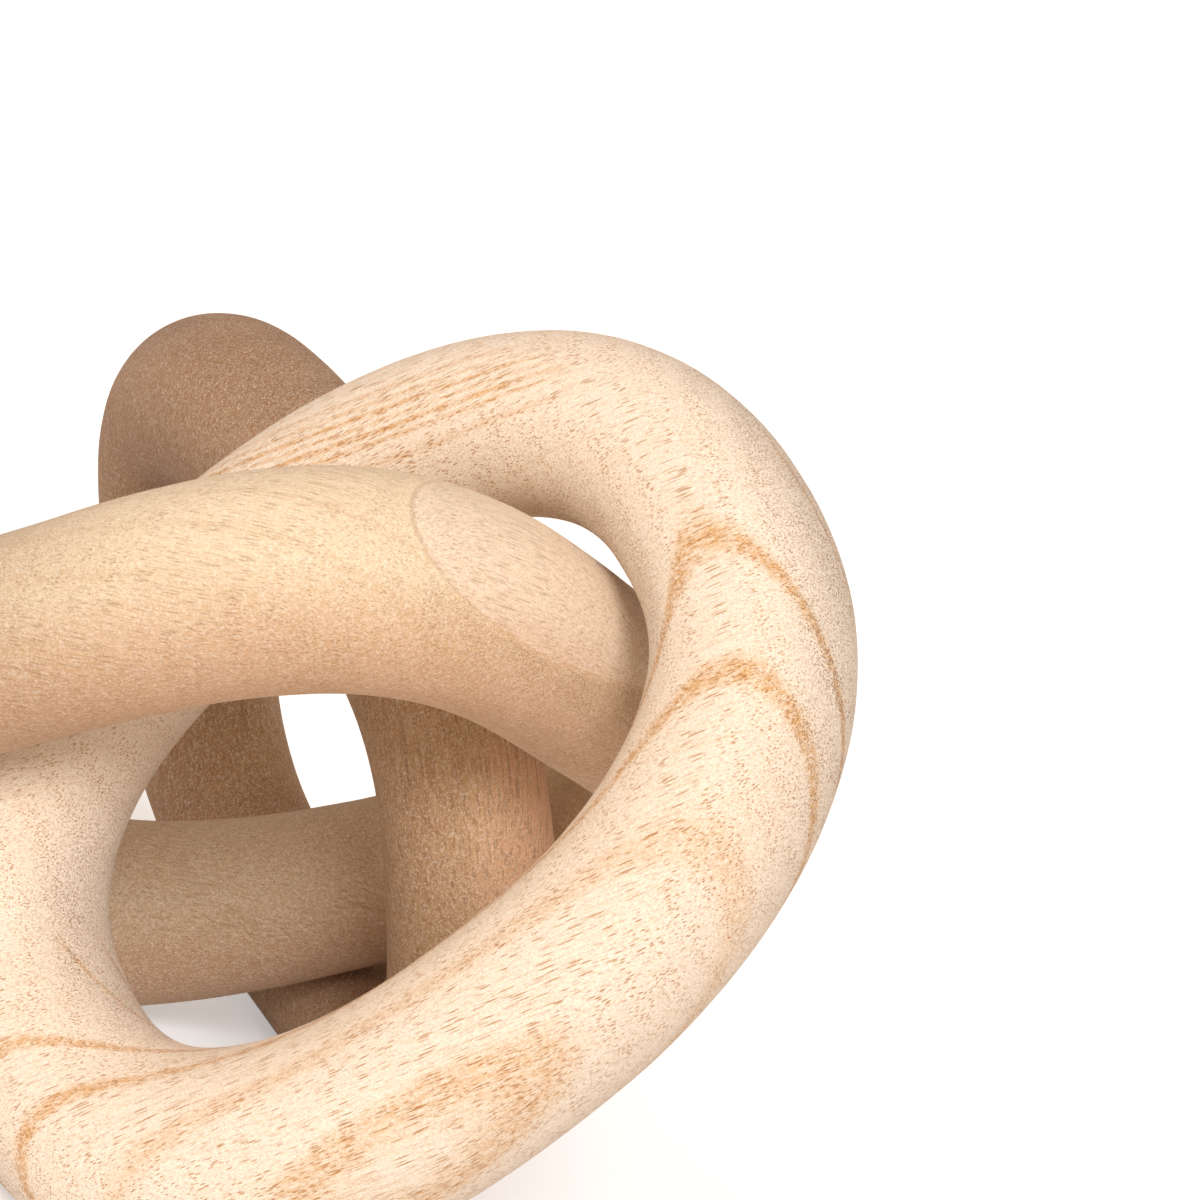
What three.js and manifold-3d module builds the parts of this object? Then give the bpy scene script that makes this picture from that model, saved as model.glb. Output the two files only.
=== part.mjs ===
// A carved wooden chain of three closed links, lying loose in a heap.
// Millimetres, +Z up. The origin is on the floor, under the middle of the heap.
import * as THREE from "three";
import { mergeVertices } from "three/addons/utils/BufferGeometryUtils.js";
import Module from "manifold-3d";

const wasm = await Module();
wasm.setup();

// How deep the worn flat is where a link rests on the floor
const flatDepth = 0.4;

// Steps round the bar and along the ring
const stepsRoundBar = 20;
const stepsAlongRing = 76;

// The links in chain order. They were carved by hand, so no two are quite alike.
// length and width are over the bar, and barDiameter is its mean thickness.
// squareness shapes the bends: 2 gives an ellipse, and more has squarer shoulders.
// widerEnd is the share by which the ring is wider towards its +X end.
// fuller gives the share by which the bar is thicker at the ring's +X end, at its +Y
// side, at both ends, and at the two shoulders where X and Y have the same sign.
// middle is the ring's centre seen from above. turn is about X, then Y, then Z, in
// degrees, from a link that lies flat with its length along X.
const links = [
  {
    name: "right_link",
    length: 160.6,
    width: 125.2,
    barDiameter: 30.3,
    squareness: 2.3,
    widerEnd: -0.011,
    fuller: { end: -0.044, side: -0.078, bothEnds: 0.008, shoulders: 0.014 },
    middle: [20.93, -61.94],
    turn: [54.6, -57.9, -3.0],
    colour: "#ecd3b0",
  },
  {
    name: "middle_link",
    length: 165.5,
    width: 134.6,
    barDiameter: 30.3,
    squareness: 3.4,
    widerEnd: 0.044,
    fuller: { end: -0.056, side: 0.059, bothEnds: 0.02, shoulders: 0.079 },
    middle: [-3.3, -25.63],
    turn: [157.3, -35.3, -27.6],
    colour: "#e6caa4",
  },
  {
    name: "left_link",
    length: 162.8,
    width: 127.1,
    barDiameter: 29.3,
    squareness: 2.85,
    widerEnd: 0.048,
    fuller: { end: 0.061, side: -0.052, bothEnds: -0.006, shoulders: -0.055 },
    middle: [6.05, 32.13],
    turn: [-114.9, -4.9, 122.6],
    colour: "#dcbf9a",
  },
];

// A power of a number that keeps the number's sign
function signedPower(value, power) {
  return Math.sign(value) * Math.abs(value) ** power;
}

// The bar's centreline: a superellipse that is wider towards one end. The angle runs
// once round it.
function centreline(link, angle) {
  const halfLength = (link.length - link.barDiameter) / 2;
  const halfWidth = (link.width - link.barDiameter) / 2;
  const power = 2 / link.squareness;
  const widening = 1 + link.widerEnd * Math.cos(angle);
  return new THREE.Vector3(
    halfLength * signedPower(Math.cos(angle), power),
    halfWidth * signedPower(Math.sin(angle), power) * widening,
    0,
  );
}

// The way out of the ring, square to a short chord of the centreline
function outwardAt(link, angle) {
  const step = 0.002;
  const chord = centreline(link, angle + step).sub(centreline(link, angle - step));
  return new THREE.Vector3(chord.y, -chord.x, 0).normalize();
}

function barRadius(link, angle) {
  const { end, side, bothEnds, shoulders } = link.fuller;
  const share =
    end * Math.cos(angle) +
    side * Math.sin(angle) +
    bothEnds * Math.cos(2 * angle) +
    shoulders * Math.sin(2 * angle);
  return (link.barDiameter / 2) * (1 + share);
}

// The round bar bent into a link: a torus whose two angles are carried over to the
// link's own centreline and bar
function makeLinkForm(link) {
  const form = new THREE.TorusGeometry(1, 0.5, stepsRoundBar, stepsAlongRing);
  const { position, uv } = form.attributes;
  for (let i = 0; i < position.count; i++) {
    const along = 2 * Math.PI * (uv.getX(i) % 1);
    const round = 2 * Math.PI * (uv.getY(i) % 1);
    const radius = barRadius(link, along);
    const place = centreline(link, along);
    place.addScaledVector(outwardAt(link, along), radius * Math.cos(round));
    position.setXYZ(i, place.x, place.y, radius * Math.sin(round));
  }
  return form;
}

// A closed geometry as a solid that can be cut
function toSolid(geometry) {
  const bare = geometry.clone();
  bare.deleteAttribute("normal");
  bare.deleteAttribute("uv");
  const merged = mergeVertices(bare, 1e-4);
  return new wasm.Manifold(
    new wasm.Mesh({
      numProp: 3,
      vertProperties: merged.attributes.position.array,
      triVerts: new Uint32Array(merged.index.array),
    }),
  );
}

function toGeometry(solid) {
  const mesh = solid.getMesh();
  const geometry = new THREE.BufferGeometry();
  geometry.setAttribute("position", new THREE.BufferAttribute(mesh.vertProperties, 3));
  geometry.setIndex(new THREE.BufferAttribute(mesh.triVerts, 1));
  geometry.computeVertexNormals();
  return geometry;
}

// What lies below the floor, much wider than the heap
const floorReach = 1000;
const belowFloor = new THREE.BoxGeometry(floorReach, floorReach, floorReach);
belowFloor.translate(0, 0, -floorReach / 2);
const belowFloorSolid = toSolid(belowFloor);

// One link, turned, let down until it presses into the floor by its flat's depth, and
// cut level with the floor
function makeLink(link) {
  const mesh = new THREE.Mesh();
  mesh.name = link.name;
  mesh.rotation.set(...link.turn.map(THREE.MathUtils.degToRad), "ZYX");
  mesh.updateMatrix();
  const form = makeLinkForm(link);
  const turned = form.clone().applyMatrix4(mesh.matrix);
  turned.computeBoundingBox();
  mesh.position.set(...link.middle, -turned.boundingBox.min.z - flatDepth);
  mesh.updateMatrix();
  form.applyMatrix4(mesh.matrix);
  mesh.geometry = toGeometry(toSolid(form).subtract(belowFloorSolid));
  mesh.geometry.applyMatrix4(mesh.matrix.clone().invert());
  mesh.material = new THREE.MeshStandardMaterial({
    color: link.colour,
    roughness: 0.8,
    metalness: 0,
  });
  return mesh;
}

const chain = new THREE.Group();
chain.name = "wooden_chain";
for (const link of links) {
  chain.add(makeLink(link));
}

export default chain;
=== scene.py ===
# The carved wooden chain: three links of bare paulownia, lying loose in a heap.
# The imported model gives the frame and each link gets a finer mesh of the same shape.
from math import pi, radians

import bpy
from mathutils import Euler, Matrix, Vector


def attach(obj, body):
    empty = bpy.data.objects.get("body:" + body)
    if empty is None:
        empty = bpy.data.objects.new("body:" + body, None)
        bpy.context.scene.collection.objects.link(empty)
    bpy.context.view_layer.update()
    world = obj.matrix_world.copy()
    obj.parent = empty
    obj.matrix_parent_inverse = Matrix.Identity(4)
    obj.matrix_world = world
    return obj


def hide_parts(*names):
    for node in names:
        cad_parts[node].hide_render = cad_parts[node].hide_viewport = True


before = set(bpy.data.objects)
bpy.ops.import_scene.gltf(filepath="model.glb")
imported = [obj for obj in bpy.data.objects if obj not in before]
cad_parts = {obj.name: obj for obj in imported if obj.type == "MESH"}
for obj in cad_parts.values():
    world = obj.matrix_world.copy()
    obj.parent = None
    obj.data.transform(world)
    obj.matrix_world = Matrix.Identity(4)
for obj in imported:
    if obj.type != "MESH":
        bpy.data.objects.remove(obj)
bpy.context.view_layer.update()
print("frame: loaded", sorted(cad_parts))

mm = 0.001


def linear(hexColour):
    # an sRGB hex value such as "f2dcc0" as a linear RGBA colour
    channels = [int(hexColour[i:i + 2], 16) / 255 for i in (0, 2, 4)]
    return [c / 12.92 if c <= 0.04045 else ((c + 0.055) / 1.055) ** 2.4 for c in channels] + [1.0]


def addNode(tree, kind, settings=None, inputs=None):
    # one node with its settings; an input takes a value, a socket, or a node's first output
    node = tree.nodes.new(kind)
    for name, value in (settings or {}).items():
        setattr(node, name, value)
    for key, source in (inputs or {}).items():
        if isinstance(source, bpy.types.Node):
            source = source.outputs[0]
        if isinstance(source, bpy.types.NodeSocket):
            tree.links.new(source, node.inputs[key])
        else:
            node.inputs[key].default_value = source
    return node


# settings that many nodes share
mathNode, vectorNode, rangeNode = "ShaderNodeMath", "ShaderNodeVectorMath", "ShaderNodeMapRange"
plus, minus, times, over = ({"operation": o} for o in ("ADD", "SUBTRACT", "MULTIPLY", "DIVIDE"))
scaled, dotted = {"operation": "SCALE"}, {"operation": "DOT_PRODUCT"}
smoothly = {"interpolation_type": "SMOOTHSTEP"}

# The links' shape
linkShape = {
    "stepsAlong": 448,
    "stepsRound": 128,
    "handWaver": 0.22,  # mm, the slow waver that a knife and sandpaper leave
    "waversInMetre": 55.0,
    "chordStep": 0.002,  # radians each way, for the direction of the centreline
    "weldDistance": 0.002,  # mm, where the grid's edges meet
}

# Sizes, places and turns in mm and degrees, as in the part's own source.
# squareness: 2 is an ellipse, more has squarer shoulders. widerEnd: how much wider the
# ring is towards its +X end. fuller: how much thicker the bar is at the +X end, at the
# +Y side, at both ends and at two of the shoulders.
# grain: the turn of the fibres, which run along that turn's X.
# growth: families of growth rings. pith is a point on a family's axis, turn points the
# axis, rings are (radius, strength, half its width), and a family shows only beyond each
# plane (x, y, z, distance, softness) in within.
# seam, where there is one, is the glued plane to a second piece of wood, which has its
# own pale, deep and grain. The glue line shows round its place.
# pale and deep are the clear wood, ringLine the growth rings, pore the open vessels, and
# fibreShadow the painted small shadows between torn fibres. shades are (plane, softness,
# colour, share), a colour laid on beyond a plane; each link says what its shades stand for.
# endTint is where the bar is cut across. dashes, streaks, rays, speckle and endShare say
# how strongly those show, from 0 to 1.
links = {
    "rightLink": {
        "node": "right_link", "seed": 1.0,
        "length": 160.6, "width": 125.2, "bar": 30.3, "squareness": 2.3, "widerEnd": -0.011,
        "fuller": (-0.044, -0.078, 0.008, 0.014),
        "middle": (20.93, -61.94, 76.59), "turn": (54.6, -57.9, -3.0),
        "grain": (0, 5.6, -12.4),
        "growth": [
            {"pith": (-0.7, 14.3, -47.0), "turn": (0, 3.4, -8.3),
             "within": [(0, -1, 0, -10, 8)],
             "rings": [(38.0, 0.6, 0.6), (46.5, 0.8, 0.7), (54.8, 0.8, 0.4), (67.1, 1.0, 0.65),
                       (74.2, 1.0, 0.8), (83.8, 0.45, 1.2), (93.0, 0.7, 0.9)]},
            {"pith": (-70.2, -184.0, -35.2), "turn": (0, 3.8, -20.2),
             "within": [(0, 1, 0, 19, 8), (-1, -0.3, 0, -76, 16)],
             "rings": [(246.3, 0.4, 0.6), (249.3, 0.7, 0.4), (250.9, 1.0, 0.45),
                       (252.4, 0.6, 0.3), (254.0, 1.0, 0.45), (255.6, 0.6, 0.35),
                       (257.5, 0.5, 0.4)]},
        ],
        "pale": "f9e9d4", "deep": "f2dfc7", "ringLine": "dda661", "pore": "b87a34", "fibreShadow": "a58a6c",
        "dashes": 1.0, "streaks": 0.08, "rays": 0.08, "speckle": 0.85,
        "endTint": "ecdfd0", "endShare": 0.4,
    },
    "middleLink": {
        "node": "middle_link", "seed": 4.0,
        "length": 165.5, "width": 134.6, "bar": 30.3, "squareness": 3.4, "widerEnd": 0.044,
        "fuller": (-0.056, 0.059, 0.02, 0.079),
        "middle": (-3.3, -25.63, 62.59), "turn": (157.3, -35.3, -27.6),
        "grain": (0, -17, -18),
        "growth": [
            {"pith": (20.0, 40.0, -75.0), "turn": (0, -17, -18),
             "within": [(-0.961, -0.152, 0.230, -76.5, 0.3)],
             "rings": [(66.0, 0.2, 0.8), (72.5, 0.25, 0.6), (80.0, 0.3, 0.8),
                       (88.0, 0.25, 0.7), (95.0, 0.3, 0.8)]},
        ],
        "seam": {"plane": (-0.961, -0.152, 0.230, -76.5), "grain": (0, -1, -72),
                 "pale": "f0dac0", "deep": "e9cfb2", "glueLine": 0.28,
                 "place": (71.5, 50.5, -2.0), "reach": 26},
        "pale": "efd9b8", "deep": "e6c9a3", "ringLine": "cda473", "pore": "96683c", "fibreShadow": "96703f",
        "dashes": 0.45, "streaks": 0.14, "rays": 0.16, "speckle": 0.35,
        # shades: painted shade on the underside, towards local +Z, and darker on the far limb,
        # towards local -X
        "shades": [((0, 0, 1, 5), 10, "cd9468", 0.55), ((-1, 0, 0, -30), 30, "8a5c38", 0.35)],
        "endTint": "c09a6c", "endShare": 0.22,
    },
    "leftLink": {
        "node": "left_link", "seed": 9.0,
        "length": 162.8, "width": 127.1, "bar": 29.3, "squareness": 2.85, "widerEnd": 0.048,
        "fuller": (0.061, -0.052, -0.006, -0.055),
        "middle": (6.05, 32.13, 58.63), "turn": (-114.9, -4.9, 122.6),
        "grain": (0, 5, -63),
        "growth": [
            {"pith": (0.0, 0.0, -62.0), "turn": (0, 5, -63), "within": [],
             "rings": [(50.0, 0.3, 0.6), (55.0, 0.35, 0.6), (61.0, 0.35, 0.5),
                       (66.0, 0.3, 0.6), (72.0, 0.4, 0.6)]},
        ],
        "pale": "d6b388", "deep": "caa274", "ringLine": "b38455", "pore": "7d5028", "fibreShadow": "7d5028",
        "dashes": 0.4, "streaks": 0.5, "rays": 0.1, "speckle": 0.5,
        # shades: darker towards local +Z, a painted pool of light on the right side of the lower
        # limb, and the wood's browner tone towards local +X
        "shades": [((0, 0, 1, -2), 12, "8a5c38", 0.4), ((-0.7, 0, -0.7, 50), 8, "ffc8a0", 0.6),
                   ((1, 0, 0, -30), 30, "8a5c38", 0.4)],
        "endTint": "a87f5a", "endShare": 0.5,
    },
}


def signedPower(tree, value, exponent):
    # a power of a number that keeps the number's sign
    size = addNode(tree, mathNode, {"operation": "ABSOLUTE"}, {0: value})
    raised = addNode(tree, mathNode, {"operation": "POWER"}, {0: size, 1: exponent})
    sign = addNode(tree, mathNode, {"operation": "SIGN"}, {0: value})
    return addNode(tree, mathNode, times, {0: raised, 1: sign})


def centreline(tree, given, angle):
    # the bar's centreline, a superellipse that the angle runs round once
    exponent = addNode(tree, mathNode, over, {0: 2.0, 1: given["Squareness"]})
    place = {}
    for axis, size, operation in (("X", "Length", "COSINE"), ("Y", "Width", "SINE")):
        turned = addNode(tree, mathNode, {"operation": operation}, {0: angle})
        across = addNode(tree, mathNode, minus, {0: given[size], 1: given["Bar Diameter"]})
        half = addNode(tree, mathNode, times, {0: across, 1: 0.5})
        place[axis] = addNode(tree, mathNode, times, {
            0: half, 1: signedPower(tree, turned, exponent)})
    # wider towards the +X end
    cosine = addNode(tree, mathNode, {"operation": "COSINE"}, {0: angle})
    widening = addNode(tree, mathNode, {"operation": "MULTIPLY_ADD"}, {
        0: cosine, 1: given["Wider End"], 2: 1.0})
    place["Y"] = addNode(tree, mathNode, times, {0: place["Y"], 1: widening})
    return addNode(tree, "ShaderNodeCombineXYZ", None, place)


def barRadius(tree, given, angle):
    # half the bar's thickness, which varies slowly round the ring
    share = 1.0
    for name, operation, turns in (("Fuller End", "COSINE", 1.0), ("Fuller Side", "SINE", 1.0),
                                   ("Fuller Both Ends", "COSINE", 2.0),
                                   ("Fuller Shoulders", "SINE", 2.0)):
        manyTurns = addNode(tree, mathNode, times, {0: angle, 1: turns})
        wave = addNode(tree, mathNode, {"operation": operation}, {0: manyTurns})
        share = addNode(tree, mathNode, {"operation": "MULTIPLY_ADD"}, {
            0: given[name], 1: wave, 2: share})
    half = addNode(tree, mathNode, times, {0: given["Bar Diameter"], 1: 0.5})
    return addNode(tree, mathNode, times, {0: half, 1: share})


def makeLinkTree():
    # A grid whose long side runs round the ring and whose short side runs round the bar
    tree = bpy.data.node_groups.new("Carved Link", "GeometryNodeTree")
    sockets = {
        "NodeSocketFloat": ["Length", "Width", "Bar Diameter", "Squareness", "Wider End",
                            "Fuller End", "Fuller Side", "Fuller Both Ends",
                            "Fuller Shoulders", "Hand Waver", "Seed"],
        "NodeSocketInt": ["Steps Along", "Steps Round"],
        "NodeSocketVector": ["Middle", "Grain Direction"],
        "NodeSocketRotation": ["Turn"],
        "NodeSocketMaterial": ["Wood"],
    }
    for kind, names in sockets.items():
        for name in names:
            tree.interface.new_socket(name=name, in_out="INPUT", socket_type=kind)
    tree.interface.new_socket(name="Link", in_out="OUTPUT", socket_type="NodeSocketGeometry")
    given = addNode(tree, "NodeGroupInput").outputs

    grid = addNode(tree, "GeometryNodeMeshGrid", None, {
        "Size X": 2 * pi, "Size Y": 2 * pi,
        "Vertices X": given["Steps Along"], "Vertices Y": given["Steps Round"]})
    onGrid = addNode(tree, "ShaderNodeSeparateXYZ", None, {
        0: addNode(tree, "GeometryNodeInputPosition")})
    along, around = onGrid.outputs["X"], onGrid.outputs["Y"]
    # outward is the way out of the ring, square to the centreline
    step = linkShape["chordStep"]
    ahead = centreline(tree, given, addNode(tree, mathNode, plus, {0: along, 1: step}))
    behind = centreline(tree, given, addNode(tree, mathNode, minus, {0: along, 1: step}))
    onward = addNode(tree, vectorNode, minus, {0: ahead, 1: behind})
    outward = addNode(tree, vectorNode, {"operation": "NORMALIZE"}, {
        0: addNode(tree, vectorNode, {"operation": "CROSS_PRODUCT"}, {
            0: onward, 1: (0, 0, 1)})})
    # normal is the way out of the bar at each point round it
    sideways = addNode(tree, vectorNode, scaled, {
        0: outward, "Scale": addNode(tree, mathNode, {"operation": "COSINE"}, {0: around})})
    upwards = addNode(tree, "ShaderNodeCombineXYZ", None, {
        "Z": addNode(tree, mathNode, {"operation": "SINE"}, {0: around})})
    normal = addNode(tree, vectorNode, plus, {0: sideways, 1: upwards})
    skin = addNode(tree, vectorNode, plus, {
        0: centreline(tree, given, along),
        1: addNode(tree, vectorNode, scaled, {
            0: normal, "Scale": barRadius(tree, given, along)})})
    noise = addNode(tree, "ShaderNodeTexNoise", {"noise_dimensions": "4D"}, {
        "Vector": skin, "W": given["Seed"], "Scale": linkShape["waversInMetre"],
        "Detail": 1.0})
    waver = addNode(tree, mathNode, times, {
        0: addNode(tree, mathNode, minus, {0: noise, 1: 0.5}), 1: given["Hand Waver"]})
    wavered = addNode(tree, vectorNode, plus, {
        0: skin,
        1: addNode(tree, vectorNode, scaled, {0: normal, "Scale": waver})})
    # how squarely the skin cuts the grain, from 0 on long grain to 1 on end grain
    across = addNode(tree, vectorNode, dotted, {0: normal, 1: given["Grain Direction"]})
    marked = addNode(tree, "GeometryNodeStoreNamedAttribute", {"data_type": "FLOAT"}, {
        "Geometry": grid, "Name": "endGrain",
        "Value": addNode(tree, mathNode, {"operation": "ABSOLUTE"}, {
            0: across.outputs["Value"]})})
    shaped = addNode(tree, "GeometryNodeSetPosition", None, {
        "Geometry": marked, "Position": wavered})
    closed = addNode(tree, "GeometryNodeMergeByDistance", None, {
        "Geometry": shaped, "Distance": linkShape["weldDistance"] * mm})
    lying = addNode(tree, "GeometryNodeTransform", None, {
        "Geometry": closed, "Translation": given["Middle"], "Rotation": given["Turn"]})
    # the small worn flat where the link rests on the floor
    place = addNode(tree, "ShaderNodeSeparateXYZ", None, {
        0: addNode(tree, "GeometryNodeInputPosition")})
    onFloor = addNode(tree, "GeometryNodeSetPosition", None, {
        "Geometry": lying,
        "Position": addNode(tree, "ShaderNodeCombineXYZ", None, {
            "X": place.outputs["X"], "Y": place.outputs["Y"],
            "Z": addNode(tree, mathNode, {"operation": "MAXIMUM"}, {
                0: place.outputs["Z"], 1: 0.0})})})
    smooth = addNode(tree, "GeometryNodeSetShadeSmooth", None, {"Geometry": onFloor})
    real = addNode(tree, "GeometryNodeRealizeInstances", None, {"Geometry": smooth})
    wooden = addNode(tree, "GeometryNodeSetMaterial", None, {
        "Geometry": real, "Material": given["Wood"]})
    addNode(tree, "NodeGroupOutput", None, {"Link": wooden})
    return tree


# The wood
wood = {
    "ringWobble": 0.7,  # mm, how far a growth ring strays from a true circle
    "ringRagged": 0.5,  # mm, the ragged edge that the early pores give a ring
    "ringMargin": 6,  # mm of clear wood before a family's first ring and after its last
    "layersInMm": 1.1,  # faint layers between the rings
    "dashOpen": (0.69, 1.19), "dotOpen": (1.05, 1.4),  # from few open vessels to many
    "dashEdge": (0.38, 0.2), "dotEdge": (0.46, 0.2),  # a vessel's edge, in its spacings
    "relief": 0.16,  # mm, the depth of the pores and raised fibres after sanding
    "fuzzHeight": 1.6,  # of a pore's depth
    "roughness": 0.78,
    # patterns by name: size along the grain and across it in mm, and the noise's detail
    "noises": {
        "broad": (90, 28, 2.0),  # slow changes of tone
        "ragged": (12, 1.1, 2.0),
        "patches": (16, 6, 1.0),  # where the vessels crowd
        "blotches": (2.4, 0.8, 2.0),
        "streaks": (16, 0.55, 2.0),
        "hair": (8, 0.20, 1.5),  # fibres, drawn twice as coarse as real ones
        "rays": (1.1, 0.7, 0.5),
        "fuzz": (0.39, 0.30, 2.0),  # torn fibre ends, drawn twice as coarse as real ones
    },
    # open vessels, from one to the next, and the crowded ones of the early wood
    "vessels": {"dashes": (5.0, 0.32), "dots": (1.5, 0.27)},
}


def beyondPlane(tree, vector, plane):
    # how far a place lies beyond a plane (x, y, z, distance)
    reached = addNode(tree, vectorNode, dotted, {0: vector, 1: plane[:3]})
    return addNode(tree, mathNode, minus, {0: reached.outputs["Value"], 1: plane[3]})


def growthRings(tree, inLink, stray, family):
    # how strongly a family of growth rings shows, from 0 to 1, and how far its axis is
    inTree = addNode(tree, "ShaderNodeMapping", {"vector_type": "TEXTURE"}, {
        "Vector": inLink, "Location": family["pith"],
        "Rotation": [radians(a) for a in family["turn"]]})
    fromAxis = addNode(tree, vectorNode, {"operation": "LENGTH"}, {
        0: addNode(tree, vectorNode, times, {0: inTree, 1: (0, 1, 1)})})
    radius = addNode(tree, mathNode, plus, {0: fromAxis.outputs["Value"], 1: stray})
    rings = sorted(family["rings"])
    low, high = rings[0][0] - wood["ringMargin"], rings[-1][0] + wood["ringMargin"]
    ramp = addNode(tree, "ShaderNodeValToRGB", None, {
        0: addNode(tree, rangeNode, None, {"Value": radius, "From Min": low, "From Max": high})})
    stops = ramp.color_ramp.elements
    stops[0].position, stops[0].color = 0.0, (0, 0, 0, 1)
    stops[1].position, stops[1].color = 1.0, (0, 0, 0, 1)
    for ring, strength, half in rings:
        for offset, share in ((-1.5, 0.0), (-0.5, 1.0), (0.5, 1.0), (1.5, 0.0)):
            stop = stops.new((ring + offset * half - low) / (high - low))
            stop.color = (strength * share,) * 3 + (1,)
    shown = ramp
    for plane in family["within"]:
        inside = addNode(tree, rangeNode, smoothly, {
            "Value": beyondPlane(tree, inLink, plane), "From Min": 0.0, "From Max": plane[4]})
        shown = addNode(tree, mathNode, times, {0: shown, 1: inside})
    return shown, radius


# steps from a link's seed to the seeds of its broad noises
seedSteps = {"broad": 0, "ragged": 3, "patches": 7}


def paulowniaWood(name, link):
    # Paulownia, carved, sanded and left bare: pale and matt, with tan growth rings and
    # short open vessels that read as brown dashes along the grain and dots across it.
    material = bpy.data.materials.new(name)
    material.use_nodes = True
    tree = material.node_tree
    tree.nodes.clear()
    coordinate = addNode(tree, "ShaderNodeTexCoord")
    inLink = addNode(tree, "ShaderNodeMapping", {"vector_type": "TEXTURE"}, {
        "Vector": coordinate.outputs["Object"],
        "Location": Vector(link["middle"]) * mm,
        "Rotation": [radians(a) for a in link["turn"]],
        "Scale": (mm, mm, mm)})
    inGrain = addNode(tree, "ShaderNodeMapping", {"vector_type": "TEXTURE"}, {
        "Vector": inLink, "Rotation": [radians(a) for a in link["grain"]]}).outputs[0]
    seam = link.get("seam")
    firstPiece, glue, clear = 1.0, 0.0, 1.0
    if seam:
        fromSeam = beyondPlane(tree, inLink, seam["plane"])
        firstPiece = addNode(tree, mathNode, {"operation": "GREATER_THAN"}, {
            0: fromSeam, 1: 0.0})
        clear = addNode(tree, rangeNode, smoothly, {
            "Value": addNode(tree, mathNode, {"operation": "ABSOLUTE"}, {0: fromSeam}),
            "From Min": 0.3, "From Max": 0.9})
        line = addNode(tree, rangeNode, smoothly, {
            "Value": addNode(tree, mathNode, {"operation": "ABSOLUTE"}, {0: fromSeam}),
            "From Min": 0.35, "From Max": 0.05, "To Max": seam["glueLine"]})
        away = addNode(tree, vectorNode, {"operation": "DISTANCE"}, {
            0: inLink, 1: seam["place"]})
        glue = addNode(tree, mathNode, times, {0: line, 1: addNode(tree, rangeNode, smoothly, {
            "Value": away.outputs["Value"], "From Min": seam["reach"], "From Max": 0.0})})
        inOther = addNode(tree, "ShaderNodeMapping", {"vector_type": "TEXTURE"}, {
            "Vector": inLink, "Rotation": [radians(a) for a in seam["grain"]]})
        inGrain = addNode(tree, "ShaderNodeMix", {"data_type": "VECTOR"}, {
            "Factor": firstPiece, 4: inOther, 5: inGrain}).outputs[1]

    # noises and cells in the grain's frame
    made = {}
    for key, (along, across, *detail) in {**wood["noises"], **wood["vessels"]}.items():
        stretched = addNode(tree, vectorNode, times, {
            0: inGrain, 1: (1 / along, 1 / across, 1 / across)})
        kind, settings, extra = "ShaderNodeTexVoronoi", None, {}
        if detail:
            kind, extra = "ShaderNodeTexNoise", {"Detail": detail[0]}
        # the broad ones differ from link to link
        if key in seedSteps:
            settings = {"noise_dimensions": "4D"}
            extra["W"] = link["seed"] + seedSteps[key]
        made[key] = addNode(tree, kind, settings, {"Vector": stretched, "Scale": 1.0, **extra})

    # growth rings stray from true circles and have ragged edges
    stray = 0.0
    for key, reach in (("broad", wood["ringWobble"]), ("ragged", 2 * wood["ringRagged"])):
        swing = addNode(tree, mathNode, minus, {0: made[key], 1: 0.5})
        stray = addNode(tree, mathNode, plus, {
            0: stray, 1: addNode(tree, mathNode, times, {0: swing, 1: reach})})
    ringTone = 0.0
    for family in link["growth"]:
        shown, radius = growthRings(tree, inLink, stray, family)
        ringTone = addNode(tree, mathNode, {"operation": "MAXIMUM"}, {0: ringTone, 1: shown})
    # faint layers between the rings, round the last family's axis
    layers = addNode(tree, "ShaderNodeTexNoise", {"noise_dimensions": "1D"}, {
        "W": radius, "Scale": wood["layersInMm"], "Detail": 3.0})

    # open vessels: thin dashes that come in patches, and the crowded dots of the rings
    vessels = {}
    for key, crowding, ease, opening, edge in (
            ("dashes", made["patches"], None, wood["dashOpen"], wood["dashEdge"]),
            ("dots", ringTone, smoothly, wood["dotOpen"], wood["dotEdge"])):
        cells = made[key].outputs
        chance = addNode(tree, "ShaderNodeSeparateColor", None, {0: cells["Color"]})
        openShare = addNode(tree, rangeNode, ease, {
            "Value": addNode(tree, mathNode, plus, {0: chance, 1: crowding}),
            "From Min": opening[0], "From Max": opening[1]})
        inside = addNode(tree, rangeNode, smoothly, {
            "Value": cells["Distance"], "From Min": edge[0], "From Max": edge[1]})
        vessels[key] = addNode(tree, mathNode, times, {0: openShare, 1: inside})
    dash, dot = vessels["dashes"], vessels["dots"]
    blotch = addNode(tree, rangeNode, None, {
        "Value": made["blotches"], "From Min": 0.36, "From Max": 0.62, "To Min": 0.35})
    ringBand = addNode(tree, mathNode, times, {0: ringTone, 1: blotch})
    cut = addNode(tree, "ShaderNodeAttribute", {"attribute_name": "endGrain"})
    endGrain = addNode(tree, mathNode, times, {
        0: firstPiece,  # the second piece is cut along its own grain
        1: addNode(tree, rangeNode, smoothly, {
            "Value": cut.outputs["Fac"], "From Min": 0.45, "From Max": 0.95})})
    # cut ends stand up and throw small shadows, painted here as dark speckle
    speckle = addNode(tree, mathNode, times, {
        0: addNode(tree, rangeNode, None, {
            "Value": made["fuzz"], "From Min": 0.5, "From Max": 0.3}),
        1: addNode(tree, rangeNode, None, {
            "Value": endGrain, "To Min": 0.35})})

    pale, deep = linear(link["pale"]), linear(link["deep"])
    pore, ringLine = linear(link["pore"]), linear(link["ringLine"])
    if seam:
        pale, deep = (addNode(tree, "ShaderNodeMix", {"data_type": "RGBA"}, {
            "Factor": firstPiece, 6: linear(seam[key]), 7: own}).outputs[2]
            for key, own in (("pale", pale), ("deep", deep)))
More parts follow.
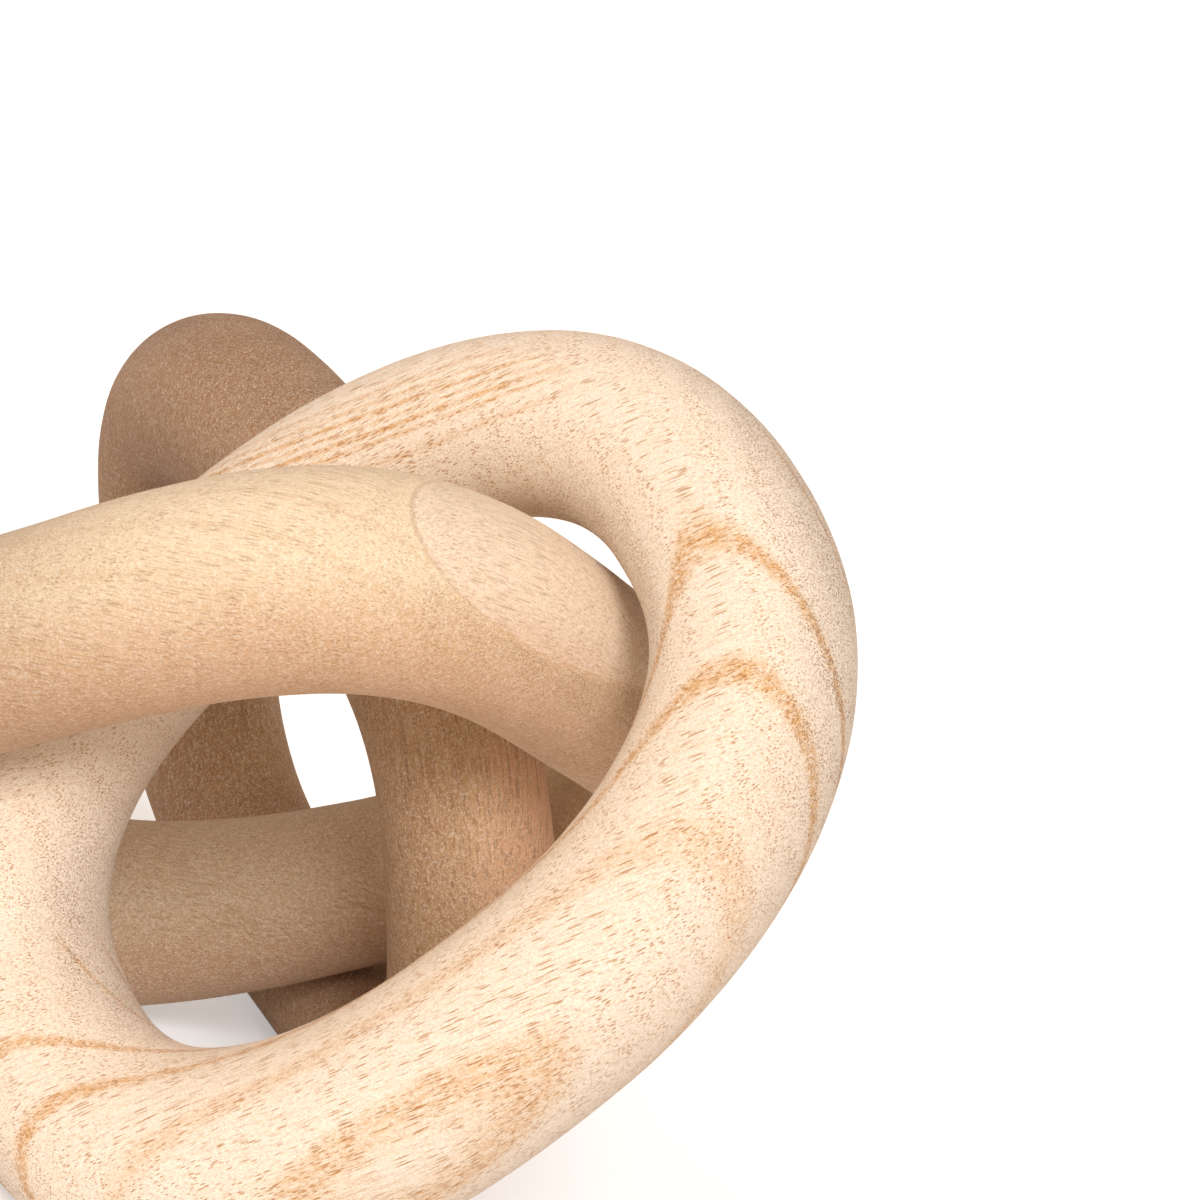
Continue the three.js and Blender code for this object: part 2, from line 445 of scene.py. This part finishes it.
    # each coat: its colour, what it follows, that thing's low and high ends, and its share
    coats = [
        (deep, made["broad"], 0.3, 0.7, 1.0),
        (ringLine, layers, 0.5, 0.75, 0.12),
        (linear(link["endTint"]), endGrain, 0.0, 1.0, link["endShare"])]
    for plane, softness, tone, share in link.get("shades", []):
        coats.append((linear(tone), beyondPlane(tree, inLink, plane), 0.0, softness, share))
    coats += [
        (ringLine, ringBand, 0.0, 1.0, 0.85),
        (pore, made["streaks"], 0.5, 0.28, link["streaks"]),
        (pore, made["hair"], 0.47, 0.28, 0.42),
        # pale torn fibres, lighter where they stand up: partly their own colour, partly painted
        # highlight on their tops
        (linear("fffaf0"), made["fuzz"], 0.5, 0.72, 0.4),
        (linear("fff2d8"), made["rays"], 0.5, 0.7, link["rays"]),
        # painted small shadows between torn fibres on the cut ends
        (linear(link["fibreShadow"]), speckle, 0.0, 1.0, link["speckle"]),
        (pore, dash, 0.0, 1.0, 0.8 * link["dashes"]),
        (pore, dot, 0.0, 1.0, 0.8),
        (pore, glue, 0.0, 1.0, 1.0)]
    colour = pale
    for coat, follows, low, high, share in coats:
        amount = addNode(tree, rangeNode, None, {
            "Value": follows, "From Min": low, "From Max": high, "To Max": share})
        colour = addNode(tree, "ShaderNodeMix", {"data_type": "RGBA"}, {
            "Factor": amount, 6: colour, 7: coat}).outputs[2]

    pits = addNode(tree, mathNode, plus, {0: dash, 1: dot})
    height = addNode(tree, mathNode, minus, {
        0: addNode(tree, mathNode, times, {0: made["fuzz"], 1: wood["fuzzHeight"]}), 1: pits})
    bump = addNode(tree, "ShaderNodeBump", None, {
        "Height": height, "Distance": wood["relief"] * mm,
        # the planed joint of two glued pieces has no relief
        "Strength": addNode(tree, mathNode, times, {
            0: clear,
            1: addNode(tree, rangeNode, None, {"Value": endGrain, "To Min": 0.5})})})
    skin = addNode(tree, "ShaderNodeBsdfPrincipled", None, {
        "Base Color": colour, "Roughness": wood["roughness"], "IOR": 1.45,
        "Specular IOR Level": 0.25, "Sheen Weight": 0.1, "Sheen Roughness": 0.6,
        "Normal": bump})
    addNode(tree, "ShaderNodeOutputMaterial", None, {"Surface": skin})
    return material


def makeLink(name, link, tree):
    carved = bpy.data.objects.new(name, bpy.data.meshes.new(name))
    bpy.context.scene.collection.objects.link(carved)
    modifier = carved.modifiers.new("Carved Link", "NODES")
    modifier.node_group = tree
    fuller = link["fuller"]
    grain = Euler([radians(a) for a in link["grain"]]).to_matrix() @ Vector((1, 0, 0))
    values = {
        "Length": link["length"] * mm, "Width": link["width"] * mm,
        "Bar Diameter": link["bar"] * mm, "Squareness": link["squareness"],
        "Wider End": link["widerEnd"], "Fuller End": fuller[0], "Fuller Side": fuller[1],
        "Fuller Both Ends": fuller[2], "Fuller Shoulders": fuller[3],
        "Hand Waver": 2 * linkShape["handWaver"] * mm, "Seed": link["seed"],
        "Steps Along": linkShape["stepsAlong"] + 1, "Steps Round": linkShape["stepsRound"] + 1,
        "Middle": [v * mm for v in link["middle"]], "Grain Direction": grain[:],
        "Turn": [radians(a) for a in link["turn"]],
        "Wood": paulowniaWood("paulowniaSanded" + name[0].upper() + name[1:], link),
    }
    for item in tree.interface.items_tree:
        if item.in_out == "INPUT":
            modifier[item.identifier] = values[item.name]
    made = carved.evaluated_get(bpy.context.evaluated_depsgraph_get())
    carved.data = bpy.data.meshes.new_from_object(made)
    carved.data.name = name
    carved.modifiers.clear()
    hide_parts(link["node"])
    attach(carved, "root")
    print("link:", name, len(carved.data.vertices), "vertices",
          len(carved.data.polygons), "faces")


linkTree = makeLinkTree()
for name, link in links.items():
    makeLink(name, link, linkTree)

# Floor, light and camera
studio = {
    "floorReach": 30.0,  # m, from the middle to an edge, so that no edge shows
    "floorColour": "f8fafc", "floorGlow": 0.38,  # the paper is lit from below as well
    "backColour": "ffffff",
    "ambient": 0.39, "ambientColour": "ffe0c8",  # warm, as light off bare wood
    # lamps by name: where from, strength in W/m2, spread in degrees and colour
    "lamps": {
        "keyLamp": ((0.15, -0.81, 0.565), 1.88, 20, "fbfcff"),
        "wideLamp": ((-0.23, -0.88, 0.42), 0.85, 110, "fffdf8"),
        "leftLamp": ((-0.87, -0.46, 0.12), 0.5, 50, "fff6ea"),
    },
}

cameraView = {
    "place": (43.88, -631.09, 220.87),  # mm
    "right": (0.9394, 0.0627, 0.3372), "up": (-0.3429, 0.1716, 0.9235),
    "lens": 118.04,  # mm, on a 36 mm square frame
}


def facing(right, up):
    # a turn whose X and Y are those two directions, made square to each other
    x = Vector(right).normalized()
    z = x.cross(Vector(up)).normalized()
    return Matrix((x, z.cross(x), z)).transposed()


floorMesh = bpy.data.meshes.new("floor")
reach = studio["floorReach"]
floorMesh.from_pydata([(-reach, -reach, 0), (reach, -reach, 0), (reach, reach, 0),
                       (-reach, reach, 0)], [], [(0, 1, 2, 3)])
floor = bpy.data.objects.new("floor", floorMesh)
bpy.context.scene.collection.objects.link(floor)
paper = bpy.data.materials.new("whiteBackdropPaper")
paper.use_nodes = True
paperSkin = paper.node_tree.nodes["Principled BSDF"]
paperSkin.inputs["Base Color"].default_value = linear(studio["floorColour"])
paperSkin.inputs["Roughness"].default_value = 0.9
# only the camera sees the glow, so that the paper looks white all over
glow = addNode(paper.node_tree, mathNode, times, {
    0: addNode(paper.node_tree, "ShaderNodeLightPath").outputs["Is Camera Ray"],
    1: studio["floorGlow"]})
paper.node_tree.links.new(glow.outputs[0], paperSkin.inputs["Emission Strength"])
paperSkin.inputs["Emission Color"].default_value = linear(studio["backColour"])
floorMesh.materials.append(paper)

world = bpy.data.worlds.new("studio")
bpy.context.scene.world = world
world.use_nodes = True
world.node_tree.nodes.clear()
seen = addNode(world.node_tree, "ShaderNodeBackground", None, {
    "Color": linear(studio["backColour"]), "Strength": 1.0})
lighting = addNode(world.node_tree, "ShaderNodeBackground", None, {
    "Color": linear(studio["ambientColour"]), "Strength": studio["ambient"]})
path = addNode(world.node_tree, "ShaderNodeLightPath")
either = addNode(world.node_tree, "ShaderNodeMixShader", None, {
    0: path.outputs["Is Camera Ray"], 1: lighting, 2: seen})
addNode(world.node_tree, "ShaderNodeOutputWorld", None, {"Surface": either})

# three soft lamps, far enough to light evenly
for name, (place, strength, spread, colour) in studio["lamps"].items():
    lamp = bpy.data.lights.new(name, "SUN")
    lamp.energy = strength
    lamp.angle = radians(spread)
    lamp.color = linear(colour)[:3]
    holder = bpy.data.objects.new(name, lamp)
    holder.rotation_euler = Vector(place).to_track_quat("Z", "Y").to_euler()
    bpy.context.scene.collection.objects.link(holder)

camera = bpy.data.objects.new("camera", bpy.data.cameras.new("camera"))
camera.data.lens = cameraView["lens"]
camera.data.sensor_width = 36
camera.data.sensor_fit = "HORIZONTAL"
camera.data.clip_start = 0.05
camera.data.clip_end = 100
camera.matrix_world = Matrix.Translation(Vector(cameraView["place"]) * mm) @ facing(
    cameraView["right"], cameraView["up"]).to_4x4()
bpy.context.scene.collection.objects.link(camera)
bpy.context.scene.camera = camera
bpy.context.scene.view_settings.view_transform = "Standard"
print("studio: floor, lamps and camera")
